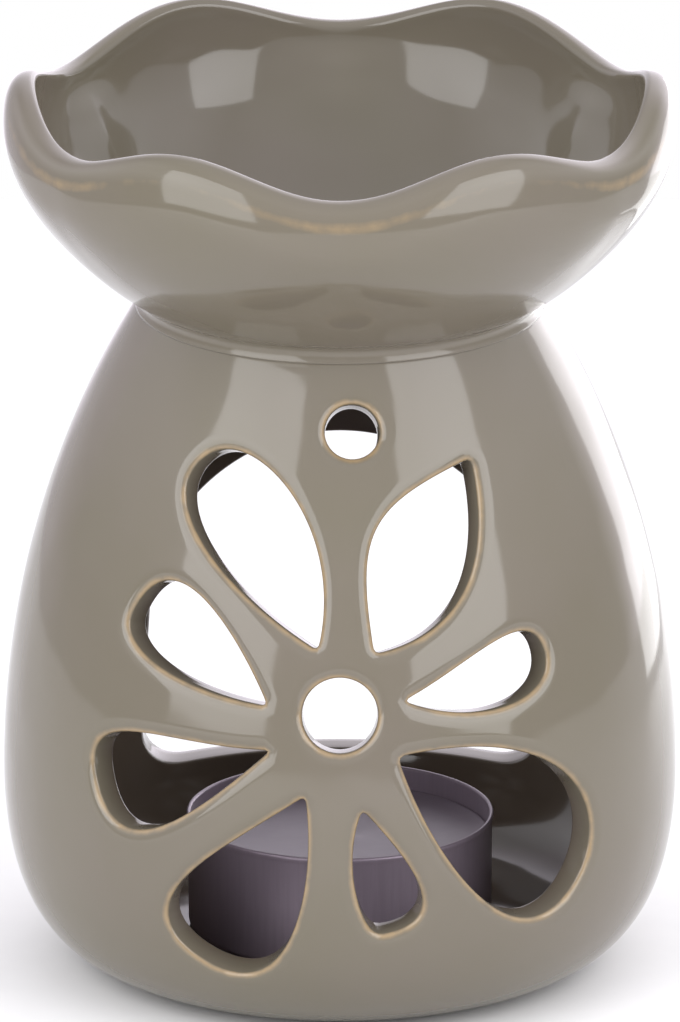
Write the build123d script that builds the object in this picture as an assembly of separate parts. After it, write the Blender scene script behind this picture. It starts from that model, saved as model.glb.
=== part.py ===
from build123d import *
import math
import os

# An essential oil burner in glazed ceramic: a pierced stand, a loose dish on its mouth
# and a tealight on the floor inside. Millimetres, Z up, origin at the middle of the foot.
# The flower faces -Y and the tealight goes in through the arch at +Y.

# Stand
WIDTH = 83.0                # across the stand's belly, and across the dish
SEAT_HEIGHT = 84.8          # the stand's top, where the dish sits
BELLY_RADIUS = WIDTH / 2
BELLY_HEIGHT = 25.0         # height of the widest ring
SIDE_RADIUS = 114.5         # curve of the side from the belly to the shoulder
FOOT_RADIUS = 23.0
FOOT_RING = 5.0             # width of the ring that the stand rests on
FOOT_HOLLOW = 1.0           # depth of the hollow inside that ring
WALL = 4.2
FLOOR = 5.0                 # height of the cavity's floor
FLOOR_RADIUS = 25.0
ROUND_SHARE = 0.67          # how full the bottom's curve is, of its width and height
LIP_RADIUS = 2.0            # rounding of the shoulder into the seat
MOUTH_RADIUS = 19.4         # the hole in the top that the dish's plug drops into

# Arch at the back that the tealight goes in through
SILL_HEIGHT = 14.5
SILL_HALF = 24.0
SPRING_HEIGHT = 40.0        # where the arch's sides turn into its round top
SPRING_HALF = 21.0
ARCH_RISE = 17.0
ARCH_CORNER = 5.0

# Flower cut through the front
FLOWER_HEIGHT = 43.7        # height of the flower's middle
EYE_RADIUS = 4.7
VENT_HEIGHT = 76.8
VENT_TURN = 3.0             # degrees round from the front, positive to the right
VENT_RADIUS = 3.4
CUT_REACH = 12.0            # how far a cutter runs to each side of the surface
# Heading of each petal in degrees from upright, positive to the right
PETAL_HEADINGS = {
    "upper_left": -36,
    "upper_right": 33,
    "left": -66,
    "right": 81,
    "lower_left": -104.5,
    "bottom_left": -150,
    "bottom": 172,
    "bottom_right": 130,
}
# Shares of the stand's height: how far each petal's middle lies round the belly from
# the front, the height of that middle, and the petal's length
PETAL_SHARES = {
    "upper_left": (-0.142, 0.74, 0.33),
    "upper_right": (0.15, 0.735, 0.32),
    "left": (-0.235, 0.58, 0.255),
    "right": (0.222, 0.555, 0.235),
    "lower_left": (-0.256, 0.427, 0.30),
    "bottom_left": (-0.132, 0.26, 0.315),
    "bottom": (0.047, 0.28, 0.195),
    "bottom_right": (0.235, 0.335, 0.37),
}
# Shares of each petal's length: the two pulls that bow a side out, each as the way
# from the tip along the petal and the way out from its middle line
LEFT_SIDE_SHARES = {
    "upper_left": (0.40, 0.21, 1.00, 0.34),
    "upper_right": (0.45, 0.35, 0.58, 0.33),
    "left": (0.40, 0.17, 1.00, 0.25),
    "right": (0.40, 0.09, 1.00, 0.40),
    "lower_left": (0.40, 0.25, 1.00, 0.55),
    "bottom_left": (0.40, 0.32, 1.00, 0.44),
    "bottom": (0.40, 0.26, 1.00, 0.63),
    "bottom_right": (0.40, 0.47, 1.00, 0.43),
}
RIGHT_SIDE_SHARES = {
    "upper_left": (0.40, 0.41, 1.00, 0.26),
    "upper_right": (0.40, 0.49, 0.90, 0.08),
    "left": (0.40, 0.32, 1.00, 0.55),
    "right": (0.40, 0.30, 1.00, 0.29),
    "lower_left": (0.40, 0.06, 1.00, 0.36),
    "bottom_left": (0.40, 0.18, 1.00, 0.54),
    "bottom": (0.40, 0.24, 1.00, 0.13),
    "bottom_right": (0.40, 0.29, 1.00, 0.39),
}

# Dish
DISH_FOOT_RADIUS = 22.6     # where the dish's underside leaves the stand
DISH_RISE_DEG = 25.0        # slope of the underside there
DISH_FOOT_PULL = 6.5        # how far that slope holds
BULGE_RISE = 20.7           # the dish's widest ring, above the seat
BULGE_PULL = 7.5            # how far below it the wall stays upright
RIM_RISE = 26.1             # the waved rim's mean height above the seat
WAVE = 2.1                  # how far the rim rises and falls from that height
LOBES = 6
RIM_LEAN = 2.0              # how far the wall leans in above the bulge
RIM_ALLOWANCE = 6.0         # wall left above the rim's mean height for the wave's cut
RIM_WIDTH = 4.3             # from the bulge in to the bowl's wall
RIM_ROLL = 2.4              # rounding of the rim's outer side
RIM_EDGE = 1.0              # rounding of its inner edge
WAVE_POINTS = 8 * LOBES     # points that the wave's curve runs through
HALFWAY_SHARE = 0.5         # where along a rim edge its radius is read
BOWL_FLOOR_RISE = 2.2       # the bowl's floor, above the seat
BOWL_FLOOR_RADIUS = 12.0
BOWL_FLOOR_PULL = 17.0
BOWL_WALL_PULL = 4.0
PLUG_DEPTH = 2.0            # how far the plug drops into the stand's mouth
PLUG_GAP = 0.4              # clearance round the plug
BULGE_HEIGHT = SEAT_HEIGHT + BULGE_RISE
RIM_HEIGHT = SEAT_HEIGHT + RIM_RISE
BOWL_FLOOR = SEAT_HEIGHT + BOWL_FLOOR_RISE

# Tealight
CUP_RADIUS = 19.0
CUP_HEIGHT = 15.0
CUP_WALL = 0.4
TEALIGHT_FORWARD = 4.0      # the tealight stands this far in front of the stand's middle
WAX_HEIGHT = 11.5
WAX_GAP = 0.2               # clearance between the wax and what it stands round
WICK_RADIUS = 0.8
WICK_STICKOUT = 6.0         # length of wick above the wax
PLATE_RADIUS = 7.0
PLATE_THICK = 0.4
COLLAR_WALL = 0.5
COLLAR_HEIGHT = 4.0
WICK_GAP = 0.1              # clearance between the wick and the collar


def turned(*edges):
    """A solid turned about Z from an outline drawn with radius as X and height as Y."""
    return revolve(Plane.XZ * make_face(Curve() + list(edges)), axis=Axis.Z)


def side_radius_at(height):
    """The stand's outer radius on the side's arc."""
    lean = math.asin((height - BELLY_HEIGHT) / SIDE_RADIUS)
    return BELLY_RADIUS - SIDE_RADIUS * (1 - math.cos(lean))


def wall_plane(turn_deg, height):
    """The plane that touches the stand's side, looking out of it, with its Y axis up the side."""
    turn = math.radians(turn_deg)
    lean = math.asin((height - BELLY_HEIGHT) / SIDE_RADIUS)
    radius = side_radius_at(height)
    ahead = Vector(math.sin(turn), -math.cos(turn), 0)
    return Plane(
        origin=ahead * radius + Vector(0, 0, height),
        x_dir=(math.cos(turn), math.sin(turn), 0),
        z_dir=ahead * math.cos(lean) + Vector(0, 0, math.sin(lean)),
    )


def stand_shell():
    # Outside: foot, round bottom, side, lip
    out_width = BELLY_RADIUS - FOOT_RADIUS
    bottom = Bezier(
        (FOOT_RADIUS, 0),
        (FOOT_RADIUS + ROUND_SHARE * out_width, 0),
        (BELLY_RADIUS, BELLY_HEIGHT - ROUND_SHARE * BELLY_HEIGHT),
        (BELLY_RADIUS, BELLY_HEIGHT),
    )
    arc_middle = BELLY_RADIUS - SIDE_RADIUS
    lip_height = SEAT_HEIGHT - LIP_RADIUS
    shoulder = math.asin((lip_height - BELLY_HEIGHT) / (SIDE_RADIUS - LIP_RADIUS))
    lip_middle = arc_middle + (SIDE_RADIUS - LIP_RADIUS) * math.cos(shoulder)
    shoulder_deg = math.degrees(shoulder)
    side = CenterArc((arc_middle, BELLY_HEIGHT), SIDE_RADIUS, 0, shoulder_deg)
    lip = CenterArc((lip_middle, lip_height), LIP_RADIUS, shoulder_deg, 90 - shoulder_deg)
    # Inside: mouth, ledge under the seat, side, round bottom, floor
    ledge_height = SEAT_HEIGHT - WALL
    inner_side = SIDE_RADIUS - WALL
    ledge = math.asin((ledge_height - BELLY_HEIGHT) / inner_side)
    inner_belly = BELLY_RADIUS - WALL
    hollow_edge = FOOT_RADIUS - FOOT_RING
    in_width = inner_belly - FLOOR_RADIUS
    in_height = BELLY_HEIGHT - FLOOR
    inner = CenterArc((arc_middle, BELLY_HEIGHT), inner_side, 0, math.degrees(ledge))
    inner_bottom = Bezier(
        (inner_belly, BELLY_HEIGHT),
        (inner_belly, BELLY_HEIGHT - ROUND_SHARE * in_height),
        (FLOOR_RADIUS + ROUND_SHARE * in_width, FLOOR),
        (FLOOR_RADIUS, FLOOR),
    )
    mouth = Polyline(lip @ 1, (MOUTH_RADIUS, SEAT_HEIGHT), (MOUTH_RADIUS, ledge_height), inner @ 1)
    floor = Polyline(
        inner_bottom @ 1, (0, FLOOR), (0, FOOT_HOLLOW), (hollow_edge, FOOT_HOLLOW), (hollow_edge, 0),
        (FOOT_RADIUS, 0),
    )
    return turned(bottom, side, lip, mouth, inner, inner_bottom, floor)


def petal_side(shares, tip, along, out):
    """A petal's side from its tip to its end; along and out are as long as the petal."""
    first_along, first_out, second_along, second_out = shares
    return Bezier(
        tip,
        tip + along * first_along + out * first_out,
        tip + along * second_along + out * second_out,
        tip + along,
    )


def petal_cutter(name):
    round_share, height_share, length_share = PETAL_SHARES[name]
    turn = math.degrees(round_share * SEAT_HEIGHT / BELLY_RADIUS)
    along = Vector(0, length_share * SEAT_HEIGHT).rotate(Axis.Z, -PETAL_HEADINGS[name])
    left = along.rotate(Axis.Z, 90)
    tip = -along / 2
    outline = Curve() + [
        petal_side(LEFT_SIDE_SHARES[name], tip, along, left),
        petal_side(RIGHT_SIDE_SHARES[name], tip, along, -left),
    ]
    plane = wall_plane(turn, height_share * SEAT_HEIGHT)
    return extrude(plane * make_face(outline), amount=CUT_REACH, both=True)


def hole_cutter(turn, height, radius):
    return extrude(wall_plane(turn, height) * Circle(radius), amount=CUT_REACH, both=True)


def arch_cutter():
    outline = Curve() + [
        Line((-SILL_HALF, SILL_HEIGHT), (SILL_HALF, SILL_HEIGHT)),
        Line((SILL_HALF, SILL_HEIGHT), (SPRING_HALF, SPRING_HEIGHT)),
        EllipticalCenterArc((0, SPRING_HEIGHT), SPRING_HALF, ARCH_RISE, start_angle=0, arc_size=180),
        Line((-SPRING_HALF, SPRING_HEIGHT), (-SILL_HALF, SILL_HEIGHT)),
    ]
    face = make_face(outline)
    face = fillet(face.vertices().group_by(Axis.Y)[0], ARCH_CORNER)
    return extrude(Plane.XZ * face, amount=-WIDTH)


def make_stand():
    cutters = [petal_cutter(name) for name in PETAL_SHARES]
    cutters.append(hole_cutter(0, FLOWER_HEIGHT, EYE_RADIUS))
    cutters.append(hole_cutter(VENT_TURN, VENT_HEIGHT, VENT_RADIUS))
    cutters.append(arch_cutter())
    return stand_shell() - cutters


def wave_ring(radius):
    """A closed curve that rises and falls with the dish's rim. The front is a dip."""
    points = []
    for step in range(WAVE_POINTS):
        turn = 2 * math.pi * step / WAVE_POINTS
        rise = WAVE * math.cos(LOBES * turn)
        points.append((radius * math.sin(turn), -radius * math.cos(turn), RIM_HEIGHT - rise))
    return Spline(*points, periodic=True)


def waved_edges(bowl, radius):
    """The edges of the waved rim that run at this radius, give or take the wall's lean."""
    near = []
    for edge in bowl.edges().filter_by(GeomType.BSPLINE):
        middle = edge @ HALFWAY_SHARE
        if abs(math.hypot(middle.X, middle.Y) - radius) < RIM_LEAN:
            near.append(edge)
    return near


def make_dish():
    rise = math.radians(DISH_RISE_DEG)
    top = RIM_HEIGHT + RIM_ALLOWANCE
    inner_radius = BELLY_RADIUS - RIM_WIDTH
    plug_radius = MOUTH_RADIUS - PLUG_GAP
    plug_height = SEAT_HEIGHT - PLUG_DEPTH
    under = Bezier(
        (DISH_FOOT_RADIUS, SEAT_HEIGHT),
        (DISH_FOOT_RADIUS + DISH_FOOT_PULL * math.cos(rise), SEAT_HEIGHT + DISH_FOOT_PULL * math.sin(rise)),
        (BELLY_RADIUS, BULGE_HEIGHT - BULGE_PULL),
        (BELLY_RADIUS, BULGE_HEIGHT),
    )
    outer_lean = TangentArc((BELLY_RADIUS, BULGE_HEIGHT), (BELLY_RADIUS - RIM_LEAN, top), tangent=(0, 1))
    inside = Bezier(
        (inner_radius, BULGE_HEIGHT),
        (inner_radius, BULGE_HEIGHT - BOWL_WALL_PULL),
        (BOWL_FLOOR_RADIUS + BOWL_FLOOR_PULL, BOWL_FLOOR),
        (BOWL_FLOOR_RADIUS, BOWL_FLOOR),
    )
    across = Polyline((BELLY_RADIUS - RIM_LEAN, top), (inner_radius, top), (inner_radius, BULGE_HEIGHT))
    base = Polyline(
        (BOWL_FLOOR_RADIUS, BOWL_FLOOR), (0, BOWL_FLOOR), (0, plug_height), (plug_radius, plug_height),
        (plug_radius, SEAT_HEIGHT), (DISH_FOOT_RADIUS, SEAT_HEIGHT),
    )
    bowl = turned(under, outer_lean, across, inside, base)
    wave = Face.make_surface_from_curves(wave_ring(BELLY_RADIUS - 2 * WALL), wave_ring(BELLY_RADIUS + WALL))
    bowl -= extrude(wave, amount=2 * RIM_ALLOWANCE, dir=(0, 0, 1))
    bowl = fillet(waved_edges(bowl, inner_radius), RIM_EDGE)
    return fillet(waved_edges(bowl, BELLY_RADIUS), RIM_ROLL)


def make_tealight():
    base = Pos(0, -TEALIGHT_FORWARD, FLOOR)
    wax_radius = CUP_RADIUS - CUP_WALL - WAX_GAP
    wax_top = CUP_WALL + WAX_HEIGHT
    wick_base = CUP_WALL + PLATE_THICK
    wick_length = wax_top + WICK_STICKOUT - wick_base
    collar_inner = WICK_RADIUS + WICK_GAP
    collar_outer = collar_inner + COLLAR_WALL
    collar_top = wick_base + COLLAR_HEIGHT
    cup = turned(Polyline(
        (0, 0), (CUP_RADIUS, 0), (CUP_RADIUS, CUP_HEIGHT), (CUP_RADIUS - CUP_WALL, CUP_HEIGHT),
        (CUP_RADIUS - CUP_WALL, CUP_WALL), (0, CUP_WALL), close=True,
    ))
    plate = turned(Polyline(
        (0, CUP_WALL), (PLATE_RADIUS, CUP_WALL), (PLATE_RADIUS, wick_base), (collar_outer, wick_base),
        (collar_outer, collar_top), (collar_inner, collar_top), (collar_inner, wick_base), (0, wick_base),
        close=True,
    ))
    wick_hole = WICK_RADIUS + WAX_GAP
    collar_hole = collar_outer + WAX_GAP
    plate_hole = PLATE_RADIUS + WAX_GAP
    plate_roof = wick_base + WAX_GAP
    collar_roof = collar_top + WAX_GAP
    wax = turned(Polyline(
        (plate_hole, CUP_WALL), (wax_radius, CUP_WALL), (wax_radius, wax_top), (wick_hole, wax_top),
        (wick_hole, collar_roof), (collar_hole, collar_roof), (collar_hole, plate_roof),
        (plate_hole, plate_roof), close=True,
    ))
    wick = Pos(0, 0, wick_base) * Cylinder(
        WICK_RADIUS, wick_length, align=(Align.CENTER, Align.CENTER, Align.MIN)
    )
    return {
        "tealight_cup": base * cup,
        "tealight_wax": base * wax,
        "wick": base * wick,
        "wick_sustainer": base * plate,
    }


nodes = {"stand": make_stand(), "dish": make_dish(), **make_tealight()}
os.makedirs("parts", exist_ok=True)
for node, shape in nodes.items():
    export_step(shape, f"parts/{node}.step")
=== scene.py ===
import math

import bpy
import numpy as np
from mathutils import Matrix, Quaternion, Vector
from mathutils.geometry import delaunay_2d_cdt


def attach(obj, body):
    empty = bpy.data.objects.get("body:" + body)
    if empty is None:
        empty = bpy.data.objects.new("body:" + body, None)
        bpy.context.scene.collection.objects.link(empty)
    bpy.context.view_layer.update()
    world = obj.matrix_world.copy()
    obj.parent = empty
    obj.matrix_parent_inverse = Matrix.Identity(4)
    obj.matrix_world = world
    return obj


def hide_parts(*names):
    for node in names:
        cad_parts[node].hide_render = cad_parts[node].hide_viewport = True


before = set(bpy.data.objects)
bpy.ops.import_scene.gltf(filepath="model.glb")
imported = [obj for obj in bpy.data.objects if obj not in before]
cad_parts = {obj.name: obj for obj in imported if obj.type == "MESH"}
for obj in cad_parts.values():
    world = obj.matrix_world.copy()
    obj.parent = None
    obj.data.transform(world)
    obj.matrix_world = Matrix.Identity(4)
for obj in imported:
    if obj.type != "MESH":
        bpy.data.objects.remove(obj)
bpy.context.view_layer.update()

# An essential oil burner in glazed stoneware. Lengths are in millimetres, as in the part's source, and MM
# turns them to metres where a mesh is made. The flower faces -Y and the arch faces +Y.
MM = 0.001

# Stand
WIDTH = 83.0
SEAT_HEIGHT = 84.8          # the dish rests here
BELLY_RADIUS = WIDTH / 2
BELLY_HEIGHT = 25.0
SIDE_RADIUS = 114.5         # the side above the belly is one long arc
FOOT_RADIUS = 23.0
FOOT_RING = 5.0             # width of the ring that it stands on
FOOT_HOLLOW = 1.0           # depth of the hollow inside the ring
FOOT_BARE = 0.35            # the foot is wiped bare of glaze below this height
BARE_EDGE = 0.2             # and the glaze ends over this much
WALL = 4.2
FLOOR = 5.0
FLOOR_RADIUS = 25.0
ROUND_SHARE = 0.67          # pull of the curves that lead from the foot and the floor into the belly
LIP_RADIUS = 2.0
MOUTH_RADIUS = 19.4
POLE_RADIUS = 1.5           # the foot and the floor are closed by a disc of this size
EDGE_ROUND = 0.8            # glaze rounds the small turned edges by this much
COLUMNS = 192
SEAM = 0.0                  # the unrolled wall is closed here, on the right, clear of every cut
SEAM_MERGE = 0.01           # points nearer than this become one
TURNED_MERGE = 0.005        # and on a turned piece
QUAD_BEND_DEG = 15          # two triangles that bend and skew less than this become one face
QUAD_SKEW_DEG = 20

# Arch at the back
SILL_HEIGHT = 14.5
SILL_HALF = 25.0            # half its width at the sill
SPRING_HEIGHT = 36.0        # its round top starts here
SPRING_HALF = 23.6
ARCH_RISE = 21.2
ARCH_STEPS = 40
ARCH_CORNER = 5.0
ARCH_CORNER_STEPS = 10

# Flower in the front
FLOWER_HEIGHT = 43.7
EYE_RADIUS = 4.7
VENT_HEIGHT = 76.8
VENT_TURN = 3.0
VENT_RADIUS = 3.4
# Each petal: its heading in degrees from upright; shares of the stand's height for its place round the
# belly, its height and its length; then the two pulls that bow its left side and its right side out, as
# shares of its length
PETALS = {
    "upper_left": (-36, (-0.142, 0.74, 0.33), (0.40, 0.21, 1.00, 0.34), (0.40, 0.41, 1.00, 0.26)),
    "upper_right": (33, (0.15, 0.735, 0.32), (0.45, 0.35, 0.58, 0.33), (0.40, 0.49, 0.90, 0.08)),
    "left": (-66, (-0.235, 0.58, 0.255), (0.40, 0.17, 1.00, 0.25), (0.40, 0.32, 1.00, 0.55)),
    "right": (81, (0.222, 0.555, 0.235), (0.40, 0.09, 1.00, 0.40), (0.40, 0.30, 1.00, 0.29)),
    "lower_left": (-104.5, (-0.256, 0.427, 0.30), (0.40, 0.25, 1.00, 0.55), (0.40, 0.06, 1.00, 0.36)),
    "bottom_left": (-150, (-0.132, 0.26, 0.315), (0.40, 0.32, 1.00, 0.44), (0.40, 0.18, 1.00, 0.54)),
    "bottom": (172, (0.047, 0.28, 0.195), (0.40, 0.26, 1.00, 0.63), (0.40, 0.24, 1.00, 0.13)),
    "bottom_right": (130, (0.235, 0.335, 0.37), (0.40, 0.47, 1.00, 0.43), (0.40, 0.29, 1.00, 0.39)),
}
PETAL_STEPS = 60
CIRCLE_STEPS = 72

# Cuts, the flower's and the arch
CUT_REACH = 12.0            # the wall is looked for this far each way along the knife
CUT_TRIES = 26
CUT_STEP = 0.6              # spacing of the points along a cut
ARCH_STEP = CUT_STEP * 1.2
CUT_SOFTENING = 2           # passes that round the corners of a cut's line
CUT_ROLL = 1.7              # a cut's outer edge is rolled over this far out, where its neighbours leave room
CUT_ROLL_LEAST = 0.6
CUT_ROLL_SOFTENING = 6
CUT_DROP = 0.8              # and rolled this deep
CUT_ROLL_INSIDE = 0.4
CUT_ROLL_TURN_DEG = 15      # spacing of the rings round the roll
CUT_MARGIN = 0.3            # plain band left round a cut before the wall's own mesh starts
CUT_CLEAR = 0.55            # share of a column that the wall's own points keep away from a cut
CUT_WALL_SHARES = (0.33, 0.67)
# How thin the glaze runs on each ring over the outer and the inner edge, from the outside in, and how the
# painted shade of the inside (a darker purple-brown) fades as it comes out through the cut
THIN_OUTSIDE = (0, 0, 0, 0.1, 0.5, 1.0, 0.7, 0.2)
THIN_INSIDE = (0.2, 0.4, 0.5, 0.4, 0.2, 0, 0, 0)
CAVITY_SHADE_IN_CUT = (0, 0.3, 0.7)

# Dish
DISH_FOOT_RADIUS = 22.6
DISH_RISE_DEG = 25.0        # slope of the underside where it leaves the foot
DISH_FOOT_PULL = 6.5
SEAT_GAP = 0.04             # the dish's foot clears the stand's lip by this much
FOOT_COVE = 1.5             # glaze rounds the corner between the dish's foot and the stand by this much
BULGE_HEIGHT = 105.5        # the dish is widest here, as wide as the belly
BULGE_PULL = 7.5
BULGE_TOP_PULL = 3.2
BOWL_FLOOR = 87.0
BOWL_FLOOR_RADIUS = 12.0
BOWL_FLOOR_PULL = 19.5
BOWL_WALL_TOP = 109.0       # the bowl's wall starts to round in from here
BOWL_WALL_PULL = 4.5
PLUG_GAP = 0.4              # the plug clears the stand's mouth by this much
PLUG_DEPTH = 2.0
PLUG_RADIUS = MOUTH_RADIUS - PLUG_GAP
PLUG_HEIGHT = SEAT_HEIGHT - PLUG_DEPTH
PLUG_BARE = SEAT_HEIGHT - PLUG_DEPTH / 2    # the plug is wiped bare of glaze below this height
WAVE = 2.1                  # the rim goes up and down by this much
LOBES = 6
LOBE_COLUMNS = 36
RIM_RADIUS = 38.4           # the rim's ridge
RIM_HEIGHT = 110.9          # its mean height
RIM_PULL = 2.1
RIM_FLAT = 0.2              # width of the ridge
RIM_EDGE = 1.0              # rounding of its inner edge
RIM_SHIFT = 0.2             # crests lean in and dips lean out by this much
WAVE_START = 93.0           # the outer wall waves more and more from here up
WAVE_FULL = 108.0
BOWL_WAVE_START = 98.0      # and the bowl's wall from here
BOWL_WAVE_FULL = 110.0
BOWL_FACING = 0.5           # a surface that faces the middle by this much belongs to the bowl
PINCH = 1.4                 # the outer wall is pinched in by this much under each dip
BOWL_PINCH = 2.6            # the bowl's wall waves in and out by this much in all
BOWL_PINCH_SHARE = 0.36     # and this share of it is out, behind the crests
PINCH_SOFT = 0.12           # rounds the crease of a pinch
PINCH_START = 0.15          # shares of the dish's height between which the pinch grows
PINCH_FULL = 0.65
PINCH_FADE_START = 0.75     # from here up to the rim it loses the next share of its depth
PINCH_FADE = 0.75
THIN_BELOW_RIM = 2.8        # the glaze runs thin in a band this far under the rim
THIN_SPREAD = 0.8
THIN_AT_CREST = 0.25
THIN_AT_DIP = 0.5           # added to it at the dips

# Tealight. Its outlines are (radius, height) points from the floor that it stands on.
TEALIGHT_FORWARD = 4.0      # it stands this far in front of the middle
TEALIGHT_COLUMNS = 96
CUP_RADIUS = 19.0
CUP_WALL = 0.4
CUP_STEPPED_BASE = [(0, 0.25), (12.5, 0.25), (13.0, 0.2), (13.4, 0.05), (13.8, 0), (17.6, 0)]
CUP_TURN_MIDDLE = (17.6, 1.1)
CUP_TURN = 1.1
CUP_FLARE = [(18.72, 4), (18.75, 8), (18.78, 13.6), (18.9, 13.9)]
CUP_BEAD_MIDDLE = (18.72, 14.4)
CUP_BEAD = 0.28
CUP_LINING = [(18.45, 14.1), (18.45, 8), (18.43, 1.4)]
CUP_INNER_TURN_MIDDLE = (17.6, 1.25)
CUP_INNER_TURN = 0.83
CUP_INNER_BASE = [(9, 0.42), (0, 0.42)]
WAX_HEIGHT = 11.5
WAX_GAP = 0.2               # the wax clears the cup's wall by this much
WAX_BORE = 0.85             # the wick stands in it
# The wax's top from the wick to the cup, as radius and depth: a hollow, then a rise to the cup's wall
WAX_TOP = [
    (0.9, 0.35), (1.2, 0.42), (1.9, 0.62), (3.2, 0.75), (6.0, 0.8), (10.0, 0.78), (14.0, 0.7), (16.4, 0.55),
    (17.5, 0.35), (18.1, 0.1), (18.32, 0),
]
WAX_EDGE_DEPTH = 0.08
WAX_BORE_DEPTH = 1.2
WAX_SIDE_HEIGHTS = (8, 1.6)
WAX_UNDERSIDE = [(17.9, 0.75), (17.2, 0.5), (7.2, 0.5), (7.2, 1.0), (1.6, 1.0), (1.6, 5)]
WAX_BORE_START = 5.2
PLATE_LIFT = 0.05           # the wick's plate lies this far above the cup's base
# The plate from its middle out and back to its collar, then the collar's top and the plate's upper side
PLATE = [(0, 0), (6.6, 0), (6.95, 0.1), (6.95, 0.3), (6.7, 0.35), (2.2, 0.35), (1.6, 0.55), (1.4, 1.0)]
COLLAR = [(1.4, 4.6), (1.3, 4.75), (0.95, 4.75), (0.92, 4.6)]
PLATE_MIDDLE = [(0.92, 0.4), (0, 0.4)]
PLATE_COLUMNS = 48
WICK_START = 0.45           # above the cup's base
WICK_STICKOUT = 6.0
WICK_RADIUS = 0.65
WICK_SIDES = 24
WICK_STRANDS = 3
WICK_STRAND_DEPTH = 0.2     # share of the radius by which the strands stand out
WICK_CUTS = 48
WICK_TWIST_DEG = 900
WICK_BEND_START = 12.5
WICK_BEND = 0.03
WICK_CREASE_DEG = 50


# Outlines, as (radius, height) or (right, up) points

def bezier(a, b, c, d, steps):
    """Points along a cubic curve, without its first point."""
    points = []
    for step in range(1, steps + 1):
        t = step / steps
        s = 1 - t
        points.append(tuple(
            s * s * s * a[i] + 3 * s * s * t * b[i] + 3 * s * t * t * c[i] + t * t * t * d[i] for i in (0, 1)
        ))
    return points


def arc(middle, radius, start_deg, end_deg, steps):
    """Points along an arc, without its first point."""
    points = []
    for step in range(1, steps + 1):
        turn = math.radians(start_deg + (end_deg - start_deg) * step / steps)
        points.append((middle[0] + radius * math.cos(turn), middle[1] + radius * math.sin(turn)))
    return points


def evened(points, step):
    """The same closed line with evenly spaced points."""
    line = np.array(points + points[:1], dtype=float)
    run = np.concatenate(([0], np.cumsum(np.linalg.norm(np.diff(line, axis=0), axis=1))))
    count = max(12, round(run[-1] / step))
    at = np.linspace(0, run[-1], count, endpoint=False)
    return np.stack([np.interp(at, run, line[:, i]) for i in range(line.shape[1])], axis=1)


def softened(line, passes):
    """A closed line with its corners rounded."""
    for _ in range(passes):
        line = (np.roll(line, 1, axis=0) + 2 * line + np.roll(line, -1, axis=0)) / 4
    return line


# Outline of the stand, from the middle of the foot round the outside and down the inside to the floor
ARC_MIDDLE = BELLY_RADIUS - SIDE_RADIUS
HOLLOW_EDGE = FOOT_RADIUS - FOOT_RING
LIP_HEIGHT = SEAT_HEIGHT - LIP_RADIUS
SHOULDER = math.asin((LIP_HEIGHT - BELLY_HEIGHT) / (SIDE_RADIUS - LIP_RADIUS))
LIP_MIDDLE = ARC_MIDDLE + (SIDE_RADIUS - LIP_RADIUS) * math.cos(SHOULDER)
LEDGE_HEIGHT = SEAT_HEIGHT - WALL
LEDGE = math.asin((LEDGE_HEIGHT - BELLY_HEIGHT) / (SIDE_RADIUS - WALL))
LEDGE_RADIUS = ARC_MIDDLE + (SIDE_RADIUS - WALL) * math.cos(LEDGE)


def stand_outline():
    half = FOOT_HOLLOW / 2
    foot = [(POLE_RADIUS + i * (HOLLOW_EDGE - half - POLE_RADIUS) / 10, FOOT_HOLLOW) for i in range(11)]
    foot += arc((HOLLOW_EDGE - half, half), half, 90, 0, 3)
    foot += arc((HOLLOW_EDGE + half, half), half, 180, 270, 3)
    foot += [(HOLLOW_EDGE + half + i * (FOOT_RING - half) / 4, 0) for i in range(1, 5)]
    rise = BELLY_HEIGHT * (1 - ROUND_SHARE)
    reach = FOOT_RADIUS + ROUND_SHARE * (BELLY_RADIUS - FOOT_RADIUS)
    outside = bezier((FOOT_RADIUS, 0), (reach, 0), (BELLY_RADIUS, rise), (BELLY_RADIUS, BELLY_HEIGHT), 30)
    outside += arc((ARC_MIDDLE, BELLY_HEIGHT), SIDE_RADIUS, 0, math.degrees(SHOULDER), 50)
    lip = arc((LIP_MIDDLE, LIP_HEIGHT), LIP_RADIUS, math.degrees(SHOULDER), 90, 8)
    edge = MOUTH_RADIUS + EDGE_ROUND
    lip += [(LIP_MIDDLE + (edge - LIP_MIDDLE) * i / 6, SEAT_HEIGHT) for i in range(1, 7)]
    lip += arc((edge, SEAT_HEIGHT - EDGE_ROUND), EDGE_ROUND, 90, 180, 4)
    lip += [(MOUTH_RADIUS, SEAT_HEIGHT - WALL / 2)]
    lip += arc((edge, LEDGE_HEIGHT + EDGE_ROUND), EDGE_ROUND, 180, 270, 4)
    lip += [(edge + (LEDGE_RADIUS - edge) * i / 4, LEDGE_HEIGHT) for i in range(1, 4)]
    inside = [(LEDGE_RADIUS, LEDGE_HEIGHT)]
    inside += arc((ARC_MIDDLE, BELLY_HEIGHT), SIDE_RADIUS - WALL, math.degrees(LEDGE), 0, 44)
    inner_belly = BELLY_RADIUS - WALL
    inner_rise = BELLY_HEIGHT - ROUND_SHARE * (BELLY_HEIGHT - FLOOR)
    inner_reach = FLOOR_RADIUS + ROUND_SHARE * (inner_belly - FLOOR_RADIUS)
    inside += bezier(
        (inner_belly, BELLY_HEIGHT), (inner_belly, inner_rise),
        (inner_reach, FLOOR), (FLOOR_RADIUS, FLOOR), 22,
    )
    floor = [(FLOOR_RADIUS + (POLE_RADIUS - FLOOR_RADIUS) * i / 16, FLOOR) for i in range(1, 17)]
    return foot, outside, lip, inside, floor


foot_rows, outside_rows, lip_rows, inside_rows, floor_rows = stand_outline()
stand_rows = foot_rows + outside_rows + lip_rows + inside_rows + floor_rows
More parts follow.
